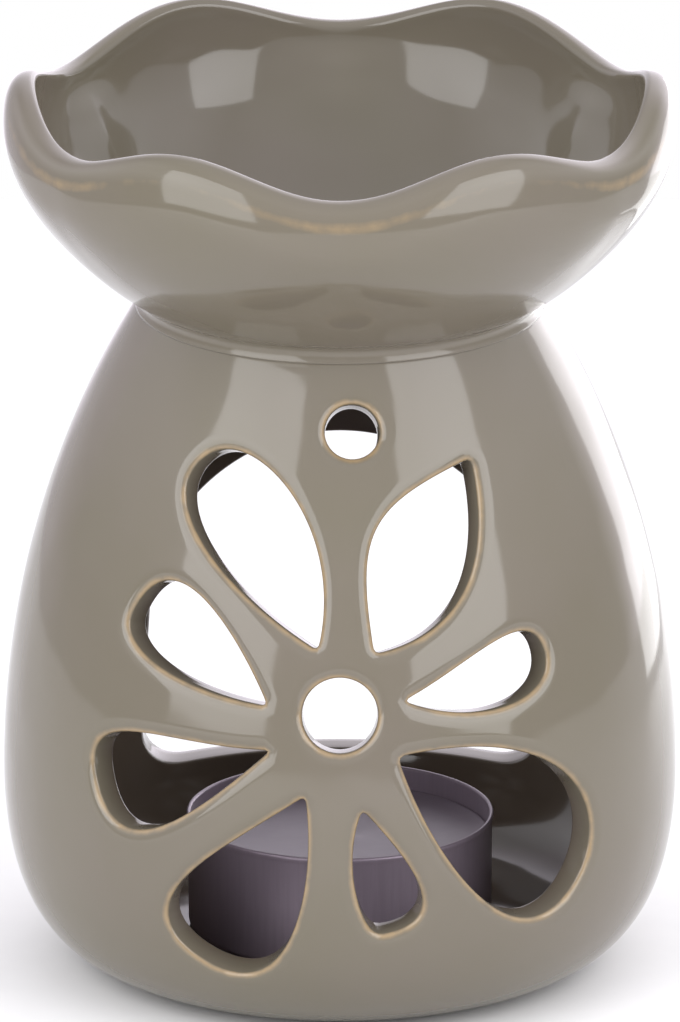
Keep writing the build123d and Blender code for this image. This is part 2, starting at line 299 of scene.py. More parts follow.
# Height of each row on the unrolled wall, where every shape keeps its angles
stand_unrolled = [0.0]
for (r0, z0), (r1, z1) in zip(stand_rows, stand_rows[1:]):
    stand_unrolled.append(stand_unrolled[-1] + 2 * math.hypot(r1 - r0, z1 - z0) / (r0 + r1))


def wall_table(rows, first):
    """Height, radius and unrolled height of one side of the wall, from the bottom up."""
    table = [(z, r, stand_unrolled[first + i]) for i, (r, z) in enumerate(rows)]
    return np.array(sorted(table))


wall_sides = {
    "outside": wall_table(outside_rows, len(foot_rows)),
    "inside": wall_table(inside_rows, len(foot_rows) + len(outside_rows) + len(lip_rows)),
}


def radius_at(side, height):
    table = wall_sides[side]
    return float(np.interp(height, table[:, 0], table[:, 1]))


def on_wall(side, point):
    """The nearest place on the wall, at the same height and turn."""
    reach = radius_at(side, point.z) / math.hypot(point.x, point.y)
    return Vector((point.x * reach, point.y * reach, point.z))


def wall_normal(side, point):
    slope = radius_at(side, point.z + 0.5) - radius_at(side, point.z - 0.5)
    level = Vector((point.x, point.y, 0)).normalized()
    return (level + Vector((0, 0, -slope))).normalized()


def unrolled(side, point):
    turn = (math.atan2(point.y, point.x) - SEAM) % (2 * math.pi) + SEAM
    table = wall_sides[side]
    return turn, float(np.interp(point.z, table[:, 0], table[:, 2]))


# Cuts through the wall: each is a closed line on the outside and its fellow on the inside

def wall_plane(turn_deg, height):
    turn = math.radians(turn_deg)
    lean = math.asin((height - BELLY_HEIGHT) / SIDE_RADIUS)
    ahead = Vector((math.sin(turn), -math.cos(turn), 0))
    out = ahead * math.cos(lean) + Vector((0, 0, math.sin(lean)))
    right = Vector((math.cos(turn), math.sin(turn), 0))
    middle = ahead * radius_at("outside", height) + Vector((0, 0, height))
    return middle, right, out.cross(right), out


def petal_line(heading_deg, length, left_shares, right_shares):
    """A petal's outline, from its tip up its left side and back down its right side."""
    heading = math.radians(heading_deg)
    along = length * np.array((math.sin(heading), math.cos(heading)))
    left = np.array((-along[1], along[0]))
    tip, end = -along / 2, along / 2
    pulls = []
    for out, shares in ((left, left_shares), (-left, right_shares)):
        first_along, first_out, second_along, second_out = shares
        pulls.append(tip + along * first_along + out * first_out)
        pulls.append(tip + along * second_along + out * second_out)
    left_first, left_second, right_first, right_second = pulls
    line = [tuple(tip)]
    line += bezier(tip, left_first, left_second, end, PETAL_STEPS)
    line += bezier(end, right_second, right_first, tip, PETAL_STEPS)[:-1]
    return softened(evened(line, CUT_STEP), CUT_SOFTENING)


def circle_line(radius):
    return evened(arc((0, 0), radius, 0, 360, CIRCLE_STEPS), CUT_STEP)


def arch_line():
    """The arch's outline as seen from behind: a sill with round corners, leaning sides and a round top."""
    lean = math.atan2(SILL_HALF - SPRING_HALF, SPRING_HEIGHT - SILL_HEIGHT)
    corner_x = SILL_HALF - ARCH_CORNER * math.tan(lean) - ARCH_CORNER / math.cos(lean)
    corner_middle = (corner_x, SILL_HEIGHT + ARCH_CORNER)
    corner = arc(corner_middle, ARCH_CORNER, -90, math.degrees(lean), ARCH_CORNER_STEPS)
    line = [(0.0, SILL_HEIGHT), (corner_x, SILL_HEIGHT)]
    line += corner
    line += [(SPRING_HALF, SPRING_HEIGHT)]
    for step in range(1, ARCH_STEPS):
        turn = math.pi * step / ARCH_STEPS
        line.append((SPRING_HALF * math.cos(turn), SPRING_HEIGHT + ARCH_RISE * math.sin(turn)))
    line += [(-SPRING_HALF, SPRING_HEIGHT)]
    line += [(-x, z) for x, z in reversed(corner)]
    line += [(-corner_x, SILL_HEIGHT)]
    return softened(evened(line, ARCH_STEP), CUT_SOFTENING)


def met(base, way, side, near, far):
    """Where a straight line that runs outwards meets the wall's outer or inner surface."""
    for _ in range(CUT_TRIES):
        half = (near + far) / 2
        point = base + way * half
        if math.hypot(point.x, point.y) < radius_at(side, point.z):
            near = half
        else:
            far = half
    return base + way * near


def knife_cut(plane, line):
    """A cut's line on the wall's outside, square to the plane, and where the knife comes out inside."""
    middle, right, up, out = plane
    outer = []
    inner = []
    for x, y in line:
        point = met(middle + right * x + up * y, out, "outside", -CUT_REACH, CUT_REACH)
        way = (out + wall_normal("outside", point)).normalized()
        outer.append(point)
        inner.append(met(point, way, "inside", -CUT_REACH, 0))
    return outer, inner


def arch_cut():
    pair = []
    for side in ("outside", "inside"):
        points = []
        for x, z in arch_line():
            points.append(Vector((x, math.sqrt(radius_at(side, z) ** 2 - x * x), z)))
        pair.append(points)
    return pair


def stand_cuts():
    cuts = []
    for heading, (round_share, height_share, length_share), left, right in PETALS.values():
        turn = math.degrees(round_share * SEAT_HEIGHT / BELLY_RADIUS)
        line = petal_line(heading, length_share * SEAT_HEIGHT, left, right)
        cuts.append(knife_cut(wall_plane(turn, height_share * SEAT_HEIGHT), line))
    cuts.append(knife_cut(wall_plane(0, FLOWER_HEIGHT), circle_line(EYE_RADIUS)))
    cuts.append(knife_cut(wall_plane(VENT_TURN, VENT_HEIGHT), circle_line(VENT_RADIUS)))
    cuts.append(arch_cut())
    return cuts


def edge_rings(side, points, through, rolls, drop):
    """Rings from the plain wall over the rolled edge of a cut and into the wall's thickness."""
    count = len(points)
    away = []
    for k in range(count):
        along = (points[(k + 1) % count] - points[k - 1]).normalized()
        away.append(along.cross(wall_normal(side, points[k])))
    middle = sum(points, Vector()) / count
    if sum(a.dot(p - middle) for a, p in zip(away, points)) < 0:
        away = [-a for a in away]
    rings = [[on_wall(side, p + a * (roll + CUT_MARGIN)) for p, a, roll in zip(points, away, rolls)]]
    for turn_deg in range(0, 91, CUT_ROLL_TURN_DEG):
        out = 1 - math.sin(math.radians(turn_deg))
        deep = drop * (1 - math.cos(math.radians(turn_deg)))
        rings.append([
            on_wall(side, p + a * roll * out) + t * deep
            for p, a, t, roll in zip(points, away, through, rolls)
        ])
    return rings


def cut_rings(outer, inner, others):
    """All the rings of one cut from the outside to the inside, how thin the glaze runs on each and how far
    the painted shade of the inside reaches."""
    through = [(b - a).normalized() for a, b in zip(outer, inner)]
    rolls = []
    for point in outer:
        room = min((point - other).length for other in others) / 2 - 2 * CUT_MARGIN
        rolls.append((min(max(room, CUT_ROLL_LEAST), CUT_ROLL), 0))
    rolls = softened(np.array(rolls), CUT_ROLL_SOFTENING)[:, 0]
    rolls_inside = [CUT_ROLL_INSIDE] * len(inner)
    front = edge_rings("outside", outer, through, rolls, CUT_DROP)
    back = edge_rings("inside", inner, [-t for t in through], rolls_inside, CUT_ROLL_INSIDE)
    wall = [[a.lerp(b, share) for a, b in zip(front[-1], back[-1])] for share in CUT_WALL_SHARES]
    thin = [*THIN_OUTSIDE] + [0] * len(wall) + [*THIN_INSIDE]
    # painted shade: none on the outer rings, fading in through the cut, full on the inside
    cavity_shade = [0] * len(front) + [*CAVITY_SHADE_IN_CUT] + [1] * (len(back) - 1)
    return front + wall + back[::-1], thin, cavity_shade


def deselect():
    if bpy.context.mode != "OBJECT":
        bpy.ops.object.mode_set(mode="OBJECT")
    bpy.ops.object.select_all(action="DESELECT")


def pierced_wall():
    """The wall is laid out flat, pierced and rolled round: its points, its faces, how its glaze lies and
    where painted shade darkens its inside.
    """
    rims = []
    rings_of_cuts = []
    cuts = stand_cuts()
    for which, (outer, inner) in enumerate(cuts):
        others = [point for k, (line, _) in enumerate(cuts) if k != which for point in line]
        rings, thin, cavity_shade = cut_rings(outer, inner, others)
        rings_of_cuts.append((rings, thin, cavity_shade))
        rims.append(("outside", rings[0]))
        rims.append(("inside", rings[-1]))
    rim_lines = [np.array([unrolled(side, point) for point in ring]) for side, ring in rims]
    step = 2 * math.pi / COLUMNS
    turns = SEAM + step * np.arange(COLUMNS + 1)
    grid = np.array([(turn, w) for w in stand_unrolled for turn in turns])
    keep = np.ones(len(grid), dtype=bool)
    for line in rim_lines:
        low, high = line.min(axis=0) - step, line.max(axis=0) + step
        near = np.nonzero(((grid > low) & (grid < high)).all(axis=1))[0]
        if len(near):
            keep[near] &= ~close_to(grid[near], line, step * CUT_CLEAR)
    flat = [tuple(p) for p in grid[keep]]
    place = []
    for index in np.nonzero(keep)[0]:
        r, z = stand_rows[index // (COLUMNS + 1)]
        turn = turns[index % (COLUMNS + 1)]
        place.append(Vector((r * math.cos(turn), r * math.sin(turn), z)))
    edges = []
    starts = []
    for (side, ring), line in zip(rims, rim_lines):
        start = len(flat)
        starts.append(start)
        flat += [tuple(p) for p in line]
        place += ring
        edges += [(start + k, start + (k + 1) % len(ring)) for k in range(len(ring))]
    # laid flat, the wall is meshed round the cuts, and sources says which given point each new one was
    flat_points, _, faces, sources, _, _ = delaunay_2d_cdt(
        [Vector(p) for p in flat], edges, [], 0, 1e-9, True
    )
    number = {}
    for index, given in enumerate(sources):
        for source in given:
            number[source] = index
    points = [place[given[0]] for given in sources]
    thinness = [0.0] * len(points)
    # points on the inside take the painted shade, a darker purple-brown that stands in for the shade in the
    # cavity
    cavity_shaded = [float(point[1] >= wall_sides["inside"][:, 2].min()) for point in flat_points]
    owner = {}
    for which, (start, (side, ring)) in enumerate(zip(starts, rims)):
        for k in range(len(ring)):
            owner[number[start + k]] = which
    kept = []
    for face in faces:
        which = {owner.get(v, -1) for v in face}
        if len(which) == 1 and which != {-1}:
            middle = np.mean([flat_points[v][:] for v in face], axis=0)
            if close_to(middle[None, :], rim_lines[which.pop()], 0)[0]:
                continue
        kept.append(tuple(face))
    for which, (rings, thin, cavity_shade) in enumerate(rings_of_cuts):
        count = len(rings[0])
        before = [number[starts[2 * which] + k] for k in range(count)]
        last = [number[starts[2 * which + 1] + k] for k in range(count)]
        for ring, thin_here, cavity_shade_here in zip(rings[1:], thin[1:], cavity_shade[1:]):
            if ring is rings[-1]:
                now = last
            else:
                now = list(range(len(points), len(points) + count))
                points += ring
                thinness += [thin_here] * count
                cavity_shaded += [cavity_shade_here] * count
            for k in range(count):
                n = (k + 1) % count
                kept.append((before[k], before[n], now[n], now[k]))
            before = now
    return points, kept, {"thin_glaze": thinness, "cavity_painted_shade": cavity_shaded}


def make_stand():
    """The pierced wall is closed at the seam, the foot and the floor."""
    points, faces, glaze = pierced_wall()
    mesh = bpy.data.meshes.new("pierced_stand")
    mesh.from_pydata([p * MM for p in points], [], faces)
    # the attributes hold the thin glaze and the painted shade of the inside
    for name, values in glaze.items():
        mesh.attributes.new(name, "FLOAT", "POINT").data.foreach_set("value", values)
    stand = bpy.data.objects.new("pierced_stand", mesh)
    bpy.context.collection.objects.link(stand)
    deselect()
    bpy.context.view_layer.objects.active = stand
    stand.select_set(True)
    bpy.ops.object.mode_set(mode="EDIT")
    bpy.ops.mesh.select_mode(type="VERT")
    bpy.ops.mesh.select_all(action="SELECT")
    bpy.ops.mesh.remove_doubles(threshold=SEAM_MERGE * MM)
    bpy.ops.mesh.tris_convert_to_quads(
        face_threshold=math.radians(QUAD_BEND_DEG), shape_threshold=math.radians(QUAD_SKEW_DEG),
    )
    bpy.ops.mesh.select_all(action="DESELECT")
    bpy.ops.mesh.select_non_manifold()
    bpy.ops.mesh.edge_face_add()
    bpy.ops.mesh.select_all(action="SELECT")
    bpy.ops.mesh.normals_make_consistent(inside=False)
    bpy.ops.object.mode_set(mode="OBJECT")
    bpy.ops.object.shade_smooth()
    return stand


def close_to(points, line, distance):
    """Which points lie inside a closed line or within a distance of it."""
    after = np.roll(line, -1, axis=0)
    x, y = points[:, 0][:, None], points[:, 1][:, None]
    crosses = (line[:, 1] > y) != (after[:, 1] > y)
    with np.errstate(divide="ignore", invalid="ignore"):
        cut = line[:, 0] + (y - line[:, 1]) * (after[:, 0] - line[:, 0]) / (after[:, 1] - line[:, 1])
    inside = (crosses & (x < cut)).sum(axis=1) % 2 == 1
    if not distance:
        return inside
    run = after - line
    along = ((x - line[:, 0]) * run[:, 0] + (y - line[:, 1]) * run[:, 1]) / (run * run).sum(axis=1)
    along = np.clip(along, 0, 1)
    gap = np.hypot(x - line[:, 0] - along * run[:, 0], y - line[:, 1] - along * run[:, 1]).min(axis=1)
    return inside | (gap < distance)


def throw(name, outline, columns):
    """A piece turned on the wheel: its outline is drawn point by point and spun about Z."""
    deselect()
    bpy.ops.mesh.primitive_plane_add(size=MM)
    piece = bpy.context.object
    piece.name = name
    piece.data.name = name
    bpy.ops.object.mode_set(mode="EDIT")
    bpy.ops.mesh.select_mode(type="VERT")
    bpy.ops.mesh.select_all(action="SELECT")
    bpy.ops.mesh.merge(type="CENTER")
    r, z = outline[0]
    bpy.ops.transform.translate(value=(r * MM, 0, z * MM))
    for (r0, z0), (r1, z1) in zip(outline, outline[1:]):
        step = ((r1 - r0) * MM, 0, (z1 - z0) * MM)
        bpy.ops.mesh.extrude_region_move(TRANSFORM_OT_translate={"value": step})
    bpy.ops.mesh.select_all(action="SELECT")
    bpy.ops.mesh.spin(steps=columns, angle=2 * math.pi, center=(0, 0, 0), axis=(0, 0, 1))
    bpy.ops.mesh.select_all(action="SELECT")
    bpy.ops.mesh.remove_doubles(threshold=TURNED_MERGE * MM)
    bpy.ops.mesh.normals_make_consistent(inside=False)
    bpy.ops.object.mode_set(mode="OBJECT")
    bpy.ops.object.shade_smooth()
    return piece


def dish_outline():
    """The dish's outline, from the middle of its plug up the outside, over the rim and down to its floor."""
    flat = PLUG_RADIUS - EDGE_ROUND
    line = [(PLUG_RADIUS * i / 6, PLUG_HEIGHT) for i in range(6)]
    line += [(flat, PLUG_HEIGHT)]
    line += arc((flat, PLUG_HEIGHT + EDGE_ROUND), EDGE_ROUND, -90, 0, 4)
    line += [(PLUG_RADIUS, SEAT_HEIGHT), (DISH_FOOT_RADIUS, SEAT_HEIGHT)]
    # the foot follows the stand's lip a little way down, and a cove leads from it into the underside
    rise = math.radians(DISH_RISE_DEG)
    reach = LIP_RADIUS + SEAT_GAP + FOOT_COVE
    drop = FOOT_COVE - (LIP_MIDDLE - DISH_FOOT_RADIUS) * math.sin(rise) - LIP_RADIUS * math.cos(rise)
    lean = rise - math.asin(drop / reach)
    cove_middle = (LIP_MIDDLE + reach * math.cos(lean), LIP_HEIGHT + reach * math.sin(lean))
    line += arc((LIP_MIDDLE, LIP_HEIGHT), LIP_RADIUS + SEAT_GAP, 90, math.degrees(lean), 4)
    line += arc(cove_middle, FOOT_COVE, 180 + math.degrees(lean), 90 + DISH_RISE_DEG, 10)
    start = line[-1]
    pull = DISH_FOOT_PULL - math.hypot(start[0] - DISH_FOOT_RADIUS, start[1] - SEAT_HEIGHT)
    line += bezier(
        start, (start[0] + pull * math.cos(rise), start[1] + pull * math.sin(rise)),
        (BELLY_RADIUS, BULGE_HEIGHT - BULGE_PULL), (BELLY_RADIUS, BULGE_HEIGHT), 32,
    )
    line += bezier(
        (BELLY_RADIUS, BULGE_HEIGHT), (BELLY_RADIUS, BULGE_HEIGHT + BULGE_TOP_PULL),
        (RIM_RADIUS + RIM_PULL, RIM_HEIGHT), (RIM_RADIUS, RIM_HEIGHT), 16,
    )
    inner_radius = RIM_RADIUS - RIM_FLAT - RIM_EDGE
    edge_height = RIM_HEIGHT - RIM_EDGE
    line += arc((inner_radius + RIM_EDGE, edge_height), RIM_EDGE, 90, 178, 7)
    line += [(inner_radius, edge_height + (BOWL_WALL_TOP - edge_height) * i / 3) for i in range(1, 4)]
    line += bezier(
        line[-1], (inner_radius, BOWL_WALL_TOP - BOWL_WALL_PULL),
        (BOWL_FLOOR_RADIUS + BOWL_FLOOR_PULL, BOWL_FLOOR), (BOWL_FLOOR_RADIUS, BOWL_FLOOR), 36,
    )
    line += [(BOWL_FLOOR_RADIUS * (1 - i / 6), BOWL_FLOOR) for i in range(1, 7)]
    return line


def eased(value, low, high):
    share = min(max((value - low) / (high - low), 0), 1)
    return share * share * (3 - 2 * share)


def make_dish():
    """The turned bowl is pinched in under each dip and its rim is drawn up and down into six lobes."""
    dish = throw("wavy_dish", dish_outline(), LOBE_COLUMNS * LOBES)
    thinness = []
    normals = [vertex.normal.copy() for vertex in dish.data.vertices]
    for vertex, normal in zip(dish.data.vertices, normals):
        x, y, z = (c / MM for c in vertex.co)
        radius = math.hypot(x, y)
        turn = math.atan2(x, -y)
        crest = -math.cos(LOBES * turn)
        dip = 1 - math.hypot(math.sin(LOBES / 2 * turn), PINCH_SOFT) / math.hypot(1, PINCH_SOFT)
        bowl = eased(-(normal.x * x + normal.y * y) / max(radius, EDGE_ROUND), 0.0, BOWL_FACING)
        share = eased(z, WAVE_START, WAVE_FULL) * (1 - bowl)
        share += eased(z, BOWL_WAVE_START, BOWL_WAVE_FULL) * bowl
        height = (z - SEAT_HEIGHT) / (RIM_HEIGHT - SEAT_HEIGHT)
        pinch = PINCH * dip * (1 - bowl) + BOWL_PINCH * (dip - BOWL_PINCH_SHARE) * bowl
        pinch *= eased(height, PINCH_START, PINCH_FULL)
        pinch *= 1 - PINCH_FADE * eased(height, PINCH_FADE_START, 1.0)
        # the glaze runs thin on the shoulder just under the rim, most at the dips
        thin = 0.0
        if radius > RIM_RADIUS:
            thin = math.exp(-((RIM_HEIGHT - z - THIN_BELOW_RIM) / THIN_SPREAD) ** 2)
            thin *= THIN_AT_CREST + THIN_AT_DIP * dip
        thinness.append(thin)
        if radius > 0:
            reach = 1 - (RIM_SHIFT * crest * share + pinch) / radius
            vertex.co = (x * reach * MM, y * reach * MM, (z + WAVE * crest * share) * MM)
    layer = dish.data.attributes.new("thin_glaze", "FLOAT", "POINT")
    layer.data.foreach_set("value", thinness)
    return dish


# Tealight, on the stand's floor

def placed_on_floor(piece):
    deselect()
    bpy.context.view_layer.objects.active = piece
    piece.select_set(True)
    bpy.ops.object.mode_set(mode="EDIT")
    bpy.ops.mesh.select_all(action="SELECT")
    bpy.ops.transform.translate(value=(0, -TEALIGHT_FORWARD * MM, FLOOR * MM))
    bpy.ops.object.mode_set(mode="OBJECT")
    return piece


def make_cup():
    """A drawn cup with a stepped base, a slight flare and a rolled bead at its top."""
    line = CUP_STEPPED_BASE + arc(CUP_TURN_MIDDLE, CUP_TURN, -90, 0, 6)
    line += CUP_FLARE + arc(CUP_BEAD_MIDDLE, CUP_BEAD, -50, 180, 8)
    line += CUP_LINING + arc(CUP_INNER_TURN_MIDDLE, CUP_INNER_TURN, 0, -90, 5)
    line += CUP_INNER_BASE
    return placed_on_floor(throw("foil_cup", line, TEALIGHT_COLUMNS))


def make_wax():
    """Wax with a hollow top that creeps up the cup's wall, bored for the wick and its collar."""
    top = CUP_WALL + WAX_HEIGHT
    side = CUP_RADIUS - CUP_WALL - WAX_GAP
    bore = (WAX_BORE, top - WAX_BORE_DEPTH)
    line = [bore] + [(radius, top - depth) for radius, depth in WAX_TOP]
    line += [(side, top - WAX_EDGE_DEPTH)] + [(side, height) for height in WAX_SIDE_HEIGHTS]
    line += WAX_UNDERSIDE + [(WAX_BORE, WAX_BORE_START), bore]
    return placed_on_floor(throw("candle_wax", line, TEALIGHT_COLUMNS))


def make_sustainer():
    """A stamped plate with a collar that holds the wick upright."""
    base = CUP_WALL + PLATE_LIFT
    line = [(radius, base + height) for radius, height in PLATE] + COLLAR
    line += [(radius, base + height) for radius, height in PLATE_MIDDLE]
    return placed_on_floor(throw("wick_sustainer_plate", line, PLATE_COLUMNS))


def make_wick():
    """A three-strand cotton wick: a trefoil drawn up, cut into short lengths, twisted and bent at its tip."""
    base = CUP_WALL + WICK_START
    length = CUP_WALL + WAX_HEIGHT + WICK_STICKOUT - base
    deselect()
    bpy.ops.mesh.primitive_circle_add(vertices=WICK_SIDES, radius=WICK_RADIUS * MM, fill_type="NGON")
    wick = bpy.context.object
    wick.name = wick.data.name = "cotton_wick"
    for vertex in wick.data.vertices:
        turn = math.atan2(vertex.co.y, vertex.co.x)
        vertex.co *= 1 + WICK_STRAND_DEPTH * math.cos(WICK_STRANDS * turn)
    bpy.ops.object.mode_set(mode="EDIT")
    bpy.ops.mesh.select_all(action="SELECT")
    bpy.ops.mesh.extrude_region_move(TRANSFORM_OT_translate={"value": (0, 0, length * MM)})
    for cut in range(1, WICK_CUTS):
        bpy.ops.mesh.select_all(action="SELECT")
        bpy.ops.mesh.bisect(plane_co=(0, 0, length * MM * cut / WICK_CUTS), plane_no=(0, 0, 1))
    bpy.ops.mesh.select_all(action="SELECT")
    bpy.ops.mesh.normals_make_consistent(inside=False)
    bpy.ops.object.mode_set(mode="OBJECT")
    twist = wick.modifiers.new("twist", "SIMPLE_DEFORM")
    twist.deform_method = "TWIST"
    twist.deform_axis = "Z"
    twist.angle = math.radians(WICK_TWIST_DEG)
    bpy.ops.object.modifier_apply(modifier=twist.name)
    for vertex in wick.data.vertices:
        above = max(0, vertex.co.z / MM - WICK_BEND_START)
        vertex.co.x += WICK_BEND * above * above * MM
        vertex.co.z += base * MM
    bpy.ops.object.shade_smooth_by_angle(angle=math.radians(WICK_CREASE_DEG))
    return placed_on_floor(wick)


# Materials

def linear(colour):
    """An sRGB hex colour as linear red, green, blue and alpha."""
    channels = [int(colour[i:i + 2], 16) / 255 for i in (1, 3, 5)]
    return tuple(c / 12.92 if c <= 0.04045 else ((c + 0.055) / 1.055) ** 2.4 for c in channels) + (1.0,)


def add(tree, kind, inputs=None, **settings):
    """Adds a node with its settings, its values and its links from other nodes' sockets."""
    made = tree.nodes.new(kind)
    for key, value in settings.items():
        setattr(made, key, value)
    for key, value in (inputs or {}).items():
        if isinstance(value, bpy.types.NodeSocket):
            tree.links.new(value, made.inputs[key])
        else:
            made.inputs[key].default_value = value
    return made


def new_material(name):
    material = bpy.data.materials.new(name)
    material.use_nodes = True
    tree = material.node_tree
    tree.nodes.clear()
    shader = add(tree, "ShaderNodeBsdfPrincipled")
    add(tree, "ShaderNodeOutputMaterial", {"Surface": shader.outputs[0]})
    where = add(tree, "ShaderNodeTexCoord").outputs["Object"]
    return material, tree, shader, where


def noise(tree, where, size_mm, detail):
    """A noise whose blotches are this many millimetres across, on coordinates in metres."""
    made = add(tree, "ShaderNodeTexNoise", {"Vector": where, "Scale": 1 / (size_mm * MM), "Detail": detail})
    return made.outputs["Fac"]


def mixed(tree, share, first, second):
    """A colour between two others. The node's colours are its sockets 6 and 7, and 2 comes out."""
    return add(tree, "ShaderNodeMix", {"Factor": share, 6: first, 7: second}, data_type="RGBA").outputs[2]


def ranged(tree, value, low, high, least=0.0, most=1.0):
    """A value that goes from least to most while the given one goes from low to high."""
    made = add(tree, "ShaderNodeMapRange", {"Value": value, 1: low, 2: high, 3: least, 4: most})
    return made.outputs[0]


def reckoned(tree, operation, *values):
    return add(tree, "ShaderNodeMath", dict(enumerate(values)), operation=operation).outputs[0]


def glazed_stoneware_with_painted_shade(name, bare_below):
    """Slip-cast stoneware under a glossy grey-beige glaze: mirror-smooth but gently wavy, a little uneven in
    tone, and tan where it runs thin over an edge. Inside the stand it is painted a darker purple-brown as
    painted shade of the closed cavity, and below a height it is wiped off the pale, dull clay."""
    material, tree, shader, where = new_material(name)
    cloud = noise(tree, where, size_mm=26, detail=3.0)
    mottle = noise(tree, where, size_mm=2.2, detail=4.0)
    waves = noise(tree, where, size_mm=13, detail=1.0)
    full = mixed(tree, cloud, linear("#645F4E"), linear("#6C645C"))
    thin = add(tree, "ShaderNodeAttribute", attribute_name="thin_glaze").outputs["Fac"]
    ragged = reckoned(tree, "MULTIPLY", thin, mottle)
    edged = mixed(tree, ranged(tree, ragged, low=0.12, high=0.5), full, linear("#8E7B5F"))
    cavity_shade = add(tree, "ShaderNodeAttribute", attribute_name="cavity_painted_shade").outputs["Fac"]
    # painted shade: the stand's inside turns a darker purple-brown that stands in for the shade in the closed
    # cavity
    cavity_shaded = mixed(tree, cavity_shade, edged, linear("#5D5349"))
    height = add(tree, "ShaderNodeSeparateXYZ", {0: where}).outputs["Z"]
    bare = ranged(tree, height, low=bare_below * MM, high=(bare_below - BARE_EDGE) * MM)
    tree.links.new(mixed(tree, bare, cavity_shaded, linear("#B3A28A")), shader.inputs["Base Color"])
    rough = ranged(tree, bare, low=0.0, high=1.0, least=0.09, most=0.75)
    tree.links.new(rough, shader.inputs["Roughness"])
    bump = add(tree, "ShaderNodeBump", {"Height": waves, "Distance": 0.3 * MM, "Strength": 1.0})
    tree.links.new(bump.outputs[0], shader.inputs["Normal"])
    shader.inputs["IOR"].default_value = 1.5
    return material


def lacquered_aluminium():
    """Thin aluminium drawn into a cup and lacquered mauve: satin, with fine upright draw lines under the
    lacquer."""
    material, tree, shader, where = new_material("lacquered_aluminium")
    stretched = add(tree, "ShaderNodeMapping", {"Vector": where, "Scale": (1, 1, 0.08)}).outputs[0]
    lines = noise(tree, stretched, size_mm=0.6, detail=3.0)
    tree.links.new(mixed(tree, lines, linear("#847884"), linear("#938693")), shader.inputs["Base Color"])
    rough = ranged(tree, lines, low=0.0, high=1.0, least=0.32, most=0.46)
    tree.links.new(rough, shader.inputs["Roughness"])
    bump = add(tree, "ShaderNodeBump", {"Height": lines, "Distance": 0.02 * MM})
    tree.links.new(bump.outputs[0], shader.inputs["Normal"])
    shader.inputs["Metallic"].default_value = 0.3
    return material


def candle_wax():
    """Poured grey-lilac paraffin: light goes a little way in, the top is satin with a faint bloom."""
    material, tree, shader, where = new_material("poured_paraffin")
    bloom = noise(tree, where, size_mm=3, detail=5.0)
    tree.links.new(mixed(tree, bloom, linear("#7F7481"), linear("#8B808C")), shader.inputs["Base Color"])
    bump = add(tree, "ShaderNodeBump", {"Height": bloom, "Distance": 0.05 * MM, "Strength": 0.6})
    tree.links.new(bump.outputs[0], shader.inputs["Normal"])
    shader.inputs["Subsurface Weight"].default_value = 0.25
    shader.inputs["Subsurface Radius"].default_value = (1.0, 0.8, 0.9)
    shader.inputs["Subsurface Scale"].default_value = 1.5 * MM
    shader.inputs["Roughness"].default_value = 0.38
    shader.inputs["IOR"].default_value = 1.44
    return material


def waxed_cotton():
    """Braided cotton dipped in wax: off-white, fibrous and dull."""
    material, tree, shader, where = new_material("waxed_cotton")
    fibre = noise(tree, where, size_mm=0.25, detail=3.0)
    tree.links.new(mixed(tree, fibre, linear("#B9B0A0"), linear("#DAD3C4")), shader.inputs["Base Color"])
    bump = add(tree, "ShaderNodeBump", {"Height": fibre, "Distance": 0.05 * MM})
    tree.links.new(bump.outputs[0], shader.inputs["Normal"])
    shader.inputs["Roughness"].default_value = 0.8
    return material


def tinned_steel():
    """Thin tinned sheet, stamped: grey, with cloudy soft reflections."""
    material, tree, shader, where = new_material("tinned_steel")
    cloud = noise(tree, where, size_mm=2, detail=2.0)
    rough = ranged(tree, cloud, low=0.0, high=1.0, least=0.25, most=0.45)
    tree.links.new(rough, shader.inputs["Roughness"])
    shader.inputs["Base Color"].default_value = linear("#B4B4B2")
    shader.inputs["Metallic"].default_value = 1.0
    return material


def finished(piece, material, body, node):
    """Gives a piece its material and puts it in the place of its CAD node."""
    piece.data.materials.clear()
    piece.data.materials.append(material)
    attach(piece, body)
    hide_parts(node)


finished(make_stand(), glazed_stoneware_with_painted_shade("stand_glaze", FOOT_BARE), "stand", "stand")
finished(make_dish(), glazed_stoneware_with_painted_shade("dish_glaze", PLUG_BARE), "dish", "dish")
finished(make_cup(), lacquered_aluminium(), "tealight", "tealight_cup")
finished(make_wax(), candle_wax(), "tealight", "tealight_wax")
finished(make_wick(), waxed_cotton(), "tealight", "wick")
finished(make_sustainer(), tinned_steel(), "tealight", "wick_sustainer")

# Studio, in metres: white floor and surround, two upright softboxes in front, a small one behind, a long lens
CAMERA_RISE = math.radians(17.8)
CAMERA_AWAY = 3.0
CAMERA_SEES = 20.0
AIM = Vector((0, 0, 57.2 * MM))
SENSOR = 36.0
FRAME_HEIGHT = 125.86 * MM  # this much of the object is as tall as the picture
STUDIO_FLOOR_RADIUS = 0.32
STUDIO_FLOOR_COLUMNS = 96
# Each softbox: degrees round from the front, degrees up and degrees rolled; distance, width, height, radiance
SOFTBOXES = {
    "softbox_left": (-41.0, 19.5, 0, 0.35, 0.24, 0.33, 3.1),
    "softbox_right": (44.5, 19.5, -12, 0.35, 0.23, 0.33, 3.1),
    "softbox_rear": (138, 1.5, 0, 0.17, 0.10, 0.115, 2.2),
}
# The surround's lights: each grows over a range of a direction's X, Y or Z, from its least to its most
LIGHT_BEHIND = (0.5, 0.8, 0.0, 2.2)
LIGHT_RIGHT = (-0.4, 0.5, 0.1, 1.0)
LIGHT_ASIDE = (0.5, 0.8, 0.0, 0.9)
LIGHT_FRONT = (-0.75, -0.25, 0.4, 0.0)
LIGHT_RAISED = (0.0, 0.35, 0.0, 1.0)
LIGHT_ABOVE = (0.55, 0.95, 0.6, 1.2)


